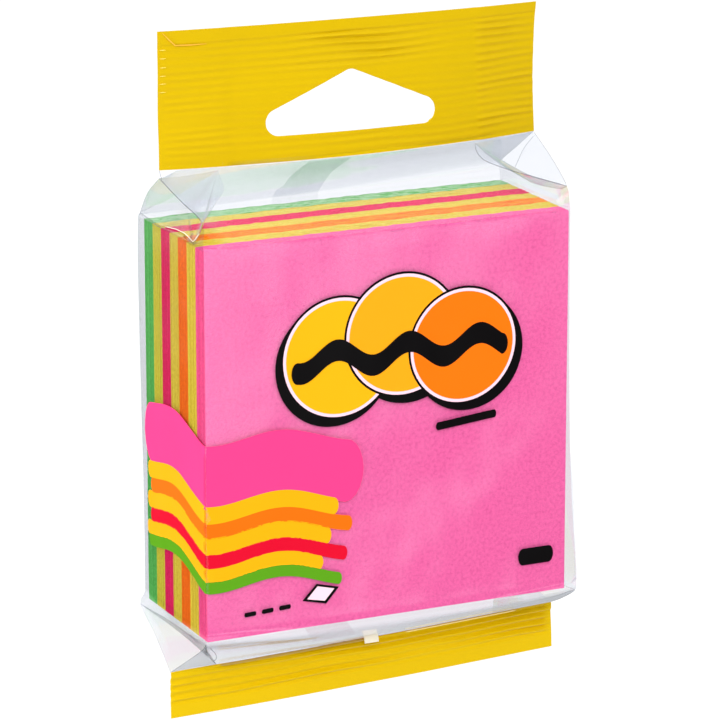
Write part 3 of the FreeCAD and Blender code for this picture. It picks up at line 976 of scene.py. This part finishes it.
# The band's waves: name, colour on screen, height, half width, left end, right end
BAND = (
    ("pink", (255, 60, 130), -69.6, 6.2, -63.0, -9.5),
    ("amber_high", (255, 168, 0), -76.9, 1.7, -64.5, -12.0),
    ("orange_stripe", (255, 106, 0), -80.0, 1.5, -63.5, -9.0),
    ("amber_middle", (255, 168, 0), -83.0, 1.7, -65.0, -13.5),
    ("red", (214, 0, 40), -86.0, 1.4, -64.0, -10.0),
    ("amber_low", (255, 168, 0), -88.7, 1.4, -65.5, -15.0),
    ("green", (86, 152, 18), -91.2, 1.2, -64.8, -11.0),
)

# The small printed sheet at the band's foot, and its pale middle
SHEET = ((-18.6, -96.4), (-13.6, -97.6), (-10.9, -94.6), (-15.6, -93.4))
SHEET_FILL = ((-17.6, -96.2), (-13.9, -97.0), (-11.9, -94.8), (-15.4, -93.9))


class Wrap:
    """Puts flat print on the outside of the sleeve, round its left front corner."""

    def __init__(self, front, left):
        self.front = self.tree(front)
        self.left = self.tree(left)

    @staticmethod
    def tree(rows):
        """The faces between rows of points, where straight lines can be made to hit them."""
        wide = len(rows[0])
        verts = [p for row in rows for p in row]
        faces = []
        for i in range(len(rows) - 1):
            for j in range(wide - 1):
                a = i * wide + j
                faces.append((a, a + 1, a + wide + 1, a + wide))
        return BVHTree.FromPolygons(verts, faces)

    def place(self, x, z, lift):
        """Where print lies, in metres. x runs across the front, and past the corner it runs
        back along the side."""
        if x >= CORNER_X:
            panel = self.front
            start = (max(x, CORNER_X + 0.05), -60, z)
            inward = Vector((0, 1, 0))
        else:
            panel = self.left
            start = (-90, max(CORNER_Y + (CORNER_X - x), CORNER_Y + 0.05), z)
            inward = Vector((1, 0, 0))
        hit = panel.ray_cast(point(start), inward)[0]
        if hit is None:
            raise RuntimeError(f"no film under the print at {x}, {z}")
        return hit - inward * lift


def disc(x, z, radius, count=64):
    """A round outline."""
    angles = [math.tau * k / count for k in range(count)]
    return [(x + radius * math.cos(angle), z + radius * math.sin(angle)) for angle in angles]


def dense(corners, step=1.0):
    """A closed outline with points added along its sides."""
    loop = []
    for a, b in zip(corners, corners[1:] + corners[:1]):
        a, b = Vector(a), Vector(b)
        parts = max(1, round((b - a).length / step))
        loop += [tuple(a.lerp(b, k / parts)) for k in range(parts)]
    return loop


def disc_wave(x):
    """Height of the black wave over the discs."""
    return -49.6 + 1.9 * math.sin(x * 0.42)


def band_wave(height):
    """One of the band's waves, which all run alike."""
    return lambda x: height - 0.075 * (x + 20) + 1.3 * math.sin((x + 60) * 0.21)


def ribbon(start, end, middle, half, count=60):
    """The outline of a band that follows middle(x), with rounded ends."""
    upper, lower = [], []
    for k in range(count + 1):
        x = start + (end - start) * k / count
        upper.append((x, middle(x) + half))
        lower.append((x, middle(x) - half))
    cap_end, cap_start = [], []
    for k in range(1, 10):
        angle = math.pi / 2 - math.pi * k / 10
        cap_end.append((end + half * math.cos(angle) * 0.6, middle(end) + half * math.sin(angle)))
        cap_start.append((start - half * math.cos(angle) * 0.6, middle(start) - half * math.sin(angle)))
    return upper + cap_end + lower[::-1] + cap_start


def print_piece(name, wrap, outlines, material):
    """One colour of print: thin closed patches on the film, each with its own lift."""
    bm = bmesh.new()
    for outline, lift in outlines:
        points, faces = filled(outline, PRINT_GRID, PRINT_GRID)
        join_into(bm, plate(points, faces, lambda x, z: wrap.place(x, z, lift * MM), PRINT_THICKNESS))
    return piece(new_object(name, bm, material), "film", "film_wrap")


# Properties


class PadLook(bpy.types.PropertyGroup):
    """Sizes and colours that a user would change."""

    sheets: bpy.props.IntProperty(
        name="Sheets", description="Sheets shown in each block of notes", default=40, min=4, max=80
    )
    side_points: bpy.props.IntProperty(
        name="Side points", description="Points along each side of a sheet", default=14, min=2, max=60
    )
    unevenness: bpy.props.FloatProperty(
        name="Unevenness", description="How far the cut edges of the sheets vary",
        default=0.00009, min=0.0, max=0.001, precision=5, unit="LENGTH",
    )
    fray: bpy.props.FloatProperty(
        name="Fray", description="How far the sheets' top edges are frayed",
        default=0.00022, min=0.0, max=0.001, precision=5, unit="LENGTH",
    )
    film_thickness: bpy.props.FloatProperty(
        name="Film thickness", description="Thickness of the clear film",
        default=0.00005, min=0.00001, max=0.001, precision=5, unit="LENGTH",
    )
    ripple_height: bpy.props.FloatProperty(
        name="Ripple height", description="Height of the soft ripples in the clear film",
        default=0.00018, min=0.0, max=0.002, precision=5, unit="LENGTH",
    )
    crease_radius: bpy.props.FloatProperty(
        name="Crease radius", description="Radius of the film's sharp creases",
        default=0.00006, min=0.00001, max=0.001, precision=5, unit="LENGTH",
    )
    seal_thickness: bpy.props.FloatProperty(
        name="Seal thickness", description="Thickness of the yellow crimped ends",
        default=0.00025, min=0.00005, max=0.002, precision=5, unit="LENGTH",
    )
    seal_yellow: bpy.props.FloatVectorProperty(
        name="Seal yellow", description="Colour of the header and footer",
        default=screen(205, 171, 0), size=4, min=0.0, max=1.0, subtype="COLOR",
    )
    pink: bpy.props.FloatVectorProperty(
        name="Pink notes", description="Colour of the front block",
        default=screen(250, 112, 173), size=4, min=0.0, max=1.0, subtype="COLOR",
    )
    # The front block's cut edges: partly the hotter pink of stacked sheets' edges, partly painted light
    pink_edge: bpy.props.FloatVectorProperty(
        name="Pink cut edges", description="Colour of the front block's cut edges",
        default=screen(255, 92, 150), size=4, min=0.0, max=1.0, subtype="COLOR",
    )
    yellow: bpy.props.FloatVectorProperty(
        name="Yellow notes", description="Colour of the yellow blocks",
        default=screen(229, 201, 62), size=4, min=0.0, max=1.0, subtype="COLOR",
    )
    orange: bpy.props.FloatVectorProperty(
        name="Orange notes", description="Colour of the orange block",
        default=screen(250, 121, 8), size=4, min=0.0, max=1.0, subtype="COLOR",
    )
    magenta: bpy.props.FloatVectorProperty(
        name="Magenta notes", description="Colour of the magenta block",
        default=screen(232, 36, 104), size=4, min=0.0, max=1.0, subtype="COLOR",
    )
    green: bpy.props.FloatVectorProperty(
        name="Green notes", description="Colour of the green block",
        default=screen(100, 190, 92), size=4, min=0.0, max=1.0, subtype="COLOR",
    )


class NOTEPAD_OT_notes(bpy.types.Operator):
    """Build the seven blocks of notes and their backing sheet"""

    bl_idname = "notepad.notes"
    bl_label = "Build Notes"

    def execute(self, context):
        look = context.scene.pad_look
        for i, (node, slot, field, tint, spill, share) in enumerate(BLOCKS):
            colour = tuple(getattr(look, field))
            # The cut sides and the top edge take tinted copies of the paper's colour: painted light and
            # shade
            edge = tuple(look.pink_edge) if field == "pink" else colour
            side = tuple(min(1.0, c * part) for c, part in zip(edge, tint + (1.0,)))
            top = tuple(c + (other - c) * share for c, other in zip(colour, spill))
            papers = [
                paper_material(f"paper_{node}", colour),
                paper_material(f"paper_{node}_side", side),
                paper_material(f"paper_{node}_top", top),
            ]
            low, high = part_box(node)
            piece(note_block(f"paper_{node}", low, high, look, 11 + i, papers), slot, node)
        low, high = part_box("backing_sheet")
        grey = paper_material("paper_backing", screen(232, 232, 228))
        backing = new_object("paper_backing", backing_sheet(low, high), grey)
        piece(backing, "release_paper", "backing_sheet")
        return {"FINISHED"}


class NOTEPAD_OT_seals(bpy.types.Operator):
    """Build the yellow crimped header with its hang hole, and the footer"""

    bl_idname = "notepad.seals"
    bl_label = "Build Seals"

    def execute(self, context):
        look = context.scene.pad_look
        colour = tuple(look.seal_yellow)
        material = printed_film_material("yellow_film", colour)
        outline = outline_of(HEADER_CORNERS, SEAL_POINTS, HEADER_WAIST)
        points, faces = filled(outline, *SEAL_GRID, hole_outline(HOLE_POINTS))
        bm = plate(points, faces, header_place, look.seal_thickness)
        header = piece(new_object("film_header", bm, material), "film", "film_wrap")
        header.visible_glossy = False
        points, faces = filled(outline_of(FOOTER_CORNERS, SEAL_POINTS, 0), *SEAL_GRID)
        bm = plate(points, faces, footer_place, look.seal_thickness)
        # The footer's yellow film is painted brighter than the header's: painted light
        material = printed_film_material("yellow_film_low", brighter(colour, FOOTER_LIGHT))
        footer = piece(new_object("film_footer", bm, material), "film", "film_wrap")
        footer.visible_glossy = False

        crease = [header_place(x, z) for x, z in HEADER_CREASE]
        self.line("film_header_crease", [crease], 0.00013, (232, 178, 58))
        # Painted highlights on the crimped ridges at the header's left end
        ridge_glints = [[header_place(x, z) for x in RIDGE_GLINT_X] for z in RIDGE_GLINT_Z]
        self.line("film_header_notches", ridge_glints, 0.00008, (250, 226, 110))
        self.line("film_footer_shade", [self.along_footer(0.12, 0.5, 0.1)], 0.00028, (176, 146, 70))
        self.line("film_footer_glint", [self.along_footer(0.6, 0.9, 0.0)], 0.00011, (252, 238, 168))
        return {"FINISHED"}

    def along_footer(self, start, end, up):
        """Places along the footer's top edge, between two shares of its width."""
        places = []
        for k in range(40):
            x, z = quad_place(FOOTER_CORNERS, start + (end - start) * k / 39, 1)
            places.append(footer_place(x, z + up))
        return places

    def line(self, name, lines, radius, tone):
        """Fine coloured lines that stand a little out of a seal, some of them painted highlights and
        shade.
        """
        bm = bmesh.new()
        for places in lines:
            add_bead(bm, [p - Vector((0, LINE_LIFT, 0)) for p in places], radius)
        piece(new_object(name, bm, ink_material(name, screen(*tone))), "film", "film_wrap")


class NOTEPAD_OT_sleeve(bpy.types.Operator):
    """Build the clear sleeve with its folded-in sides, its back seam and its print"""

    bl_idname = "notepad.sleeve"
    bl_label = "Build Sleeve"

    def execute(self, context):
        sleeve = Sleeve(context.scene.pad_look)
        tucks = sleeve.tucks()
        clear, lit_clear_film, creased = (film_material(*film) for film in FILMS)
        # Pale opaque film for the tab and for a painted glint along the left side's top fold
        pale = ink_material("pale_film", screen(238, 236, 216))
        for name, bm, material in (
            ("film_sleeve", sleeve.panels(), clear),
            ("film_tucks", tucks, lit_clear_film),
            ("film_tab", sleeve.tab(), pale),
            ("film_creases", sleeve.creases(), creased),
            ("film_back_seam", sleeve.back_seam(), lit_clear_film),
        ):
            piece(new_object(name, bm, material), "film", "film_wrap")
        self.prints(Wrap(sleeve.front, sleeve.left))
        return {"FINISHED"}

    def prints(self, wrap):
        """The printed shapes: three overlapping discs, a band of waves and small marks."""
        inks = {name: ink_material(f"ink_{name}", screen(*tone)) for name, tone in INKS.items()}
        black, rims = [], []
        for k, (name, ink, x, z, radius) in enumerate(DISCS):
            over = DISC_STEP * k
            side = 1 if k else -1
            black.append((disc(x + 1.1 * side, z - 1.3, radius + 0.5), PRINT_LIFT + 0.001 * k))
            black.append((disc(x, z, radius + 0.45), SHADOW_LIFT + over))
            rims.append((disc(x, z, radius), RIM_LIFT + over))
            fill = [(disc(x, z, radius - 0.6), FILL_LIFT + over)]
            print_piece(f"print_disc_{name}", wrap, fill, inks[ink])
        print_piece("print_disc_rims", wrap, rims, inks["pale"])
        black += [
            (ribbon(-19.5, 23.5, disc_wave, 2.1), WAVE_LIFT),
            (ribbon(10.0, 22.0, lambda x: -66.2 + 0.09 * x, 0.8), PRINT_LIFT),
            (ribbon(28.6, 34.2, lambda x: -94.2, 1.7), PRINT_LIFT),
            (dense(SHEET), PRINT_LIFT),
        ]
        for start in (-30.4, -26.8, -23.2):
            black.append((ribbon(start, start + 1.9, lambda x: -96.0 + 0.05 * x, 0.45, 8), PRINT_LIFT))
        for name, tone, height, half, start, end in BAND:
            shape = ribbon(start, end, band_wave(height), half)
            ink = ink_material(f"ink_{name}", screen(*tone))
            print_piece(f"print_band_{name}", wrap, [(shape, PRINT_LIFT)], ink)
        print_piece("print_sheet_fill", wrap, [(dense(SHEET_FILL), SHEET_LIFT)], inks["pale"])
        print_piece("print_black", wrap, black, inks["black"])


class NOTEPAD_OT_stage(bpy.types.Operator):
    """Build the pale floor, the lights and the camera"""

    bl_idname = "notepad.stage"
    bl_label = "Build Stage"

    # The camera's place and the place that it looks at, in millimetres
    eye = (-348.73, -738.09, 171.47)
    aim = (1.533, 2.402, -55.427)
    lens = 220.17
    floor_level = -0.45

    # Name, place in metres, size, power and colour of each light
    lights = (
        ("stage_key", (-0.5, -1.25, 0.75), 0.55, 12.5, (1.0, 0.98, 0.96)),
        ("stage_side", (-1.5, -0.1, 0.35), 0.7, 13.5, (0.98, 0.98, 1.0)),
        ("stage_top", (0.2, 0.3, 1.5), 0.9, 6, (1, 1, 1)),
    )

    # The sky's strength low down and its rise above, the directions and depth of the dark cards,
    # and the strength of the pale card
    sky_level = 0.58
    sky_rise = 0.55
    flags = ((-0.315, 0.735, -0.6), (0.41, -0.87, -0.27))
    flag_depth = -0.55
    card_light = 1.6

    def execute(self, context):
        scene = context.scene
        bm = bmesh.new()
        bmesh.ops.create_grid(bm, x_segments=8, y_segments=8, size=12)
        white = ink_material("stage_white", (0.12, 0.12, 0.12, 1), 0.9)
        shader = white.node_tree.nodes["Principled BSDF"]
        shader.inputs["Emission Color"].default_value = (1, 1, 1, 1)
        shader.inputs["Emission Strength"].default_value = 0.93
        floor = new_object("stage_floor", bm, white)
        floor.location.z = self.floor_level
        floor.visible_glossy = False

        world = bpy.data.worlds.new("stage_world")
        world.use_nodes = True
        self.sky(world.node_tree)
        scene.world = world
        for light in self.lights:
            self.light(*light)

        camera = bpy.data.objects.new("camera", bpy.data.cameras.new("camera"))
        scene.collection.objects.link(camera)
        camera.data.lens = self.lens
        camera.data.sensor_width = 36
        camera.data.clip_start = 0.05
        camera.data.clip_end = 50
        self.look_at(camera, point(self.eye), point(self.aim))
        scene.camera = camera
        scene.view_settings.view_transform = "Standard"
        scene.cycles.transparent_max_bounces = 32
        return {"FINISHED"}

    def look_at(self, made, place, aim):
        """Puts a camera or a light at a place and turns it to another."""
        made.location = place
        made.rotation_mode = "QUATERNION"
        made.rotation_quaternion = (aim - place).to_track_quat("-Z", "Y")

    def sky(self, tree):
        """Soft light from all round, brighter above, with two dark cards that keep the film over
        the notes clear and a pale one low in front, whose soft edge shows there on the left."""
        nodes, links = tree.nodes, tree.links
        place = nodes.new("ShaderNodeTexCoord")
        parts = nodes.new("ShaderNodeSeparateXYZ")
        links.new(place.outputs["Generated"], parts.inputs["Vector"])
        x, y, z = (parts.outputs[axis] for axis in "XYZ")

        def fade(source, start, end):
            ramp = nodes.new("ShaderNodeMapRange")
            ramp.interpolation_type = "SMOOTHSTEP"
            ramp.inputs["From Min"].default_value = start
            ramp.inputs["From Max"].default_value = end
            links.new(source, ramp.inputs["Value"])
            return ramp.outputs["Result"]

        def combined(operation, *values):
            total = values[0]
            for value in values[1:]:
                step = nodes.new("ShaderNodeMath")
                step.operation = operation
                links.new(total, step.inputs[0])
                if isinstance(value, float):
                    step.inputs[1].default_value = value
                else:
                    links.new(value, step.inputs[1])
                total = step.outputs[0]
            return total

        def flag(*direction):
            """1 towards a direction and 0 some way from it, for a dark card."""
            along = nodes.new("ShaderNodeVectorMath")
            along.operation = "DOT_PRODUCT"
            links.new(place.outputs["Generated"], along.inputs[0])
            along.inputs[1].default_value = direction
            return fade(along.outputs["Value"], 0.84, 0.95)

        above = combined("MULTIPLY", fade(z, 0.0, 0.7), self.sky_rise)
        dark = combined("ADD", *(flag(*direction) for direction in self.flags))
        dimmed = combined("MULTIPLY", dark, self.flag_depth)
        slant = combined("SUBTRACT", x, z)
        card = combined("MULTIPLY", fade(slant, 0.76, 0.58), fade(y, -0.5, -0.8), fade(z, -0.1, -0.2))
        ahead = combined("MULTIPLY", card, self.card_light)
        level = combined("ADD", above, dimmed, ahead, self.sky_level)
        links.new(level, nodes["Background"].inputs["Strength"])
        nodes["Background"].inputs["Color"].default_value = (0.97, 0.985, 1.0, 1)

    def light(self, name, place, size, power, colour):
        """A soft square light that looks at the pad."""
        lamp = bpy.data.lights.new(name, "AREA")
        lamp.size = size
        lamp.energy = power
        lamp.color = colour
        made = bpy.data.objects.new(name, lamp)
        bpy.context.scene.collection.objects.link(made)
        self.look_at(made, Vector(place), Vector((0, 0.003, -0.055)))
        made.visible_camera = False
        made.visible_glossy = False


class NOTEPAD_PT_build(bpy.types.Panel):
    """Sizes, colours and build steps of the note pad"""

    bl_idname = "NOTEPAD_PT_build"
    bl_label = "Note Pad"
    bl_space_type = "VIEW_3D"
    bl_region_type = "UI"
    bl_category = "Note Pad"

    def draw(self, context):
        look = context.scene.pad_look
        for name in PadLook.__annotations__:
            self.layout.prop(look, name)
        for operator in OPERATORS:
            self.layout.operator(operator.bl_idname)


OPERATORS = (NOTEPAD_OT_stage, NOTEPAD_OT_notes, NOTEPAD_OT_seals, NOTEPAD_OT_sleeve)


def register():
    for cls in (PadLook, *OPERATORS, NOTEPAD_PT_build):
        bpy.utils.register_class(cls)
    bpy.types.Scene.pad_look = bpy.props.PointerProperty(type=PadLook)


def unregister():
    del bpy.types.Scene.pad_look
    for cls in (NOTEPAD_PT_build, *reversed(OPERATORS), PadLook):
        bpy.utils.unregister_class(cls)


def main():
    """Registers the add-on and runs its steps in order."""
    register()
    bpy.ops.notepad.stage()
    bpy.ops.notepad.notes()
    bpy.ops.notepad.seals()
    bpy.ops.notepad.sleeve()
    bpy.context.view_layer.update()


if __name__ == "__main__":
    main()
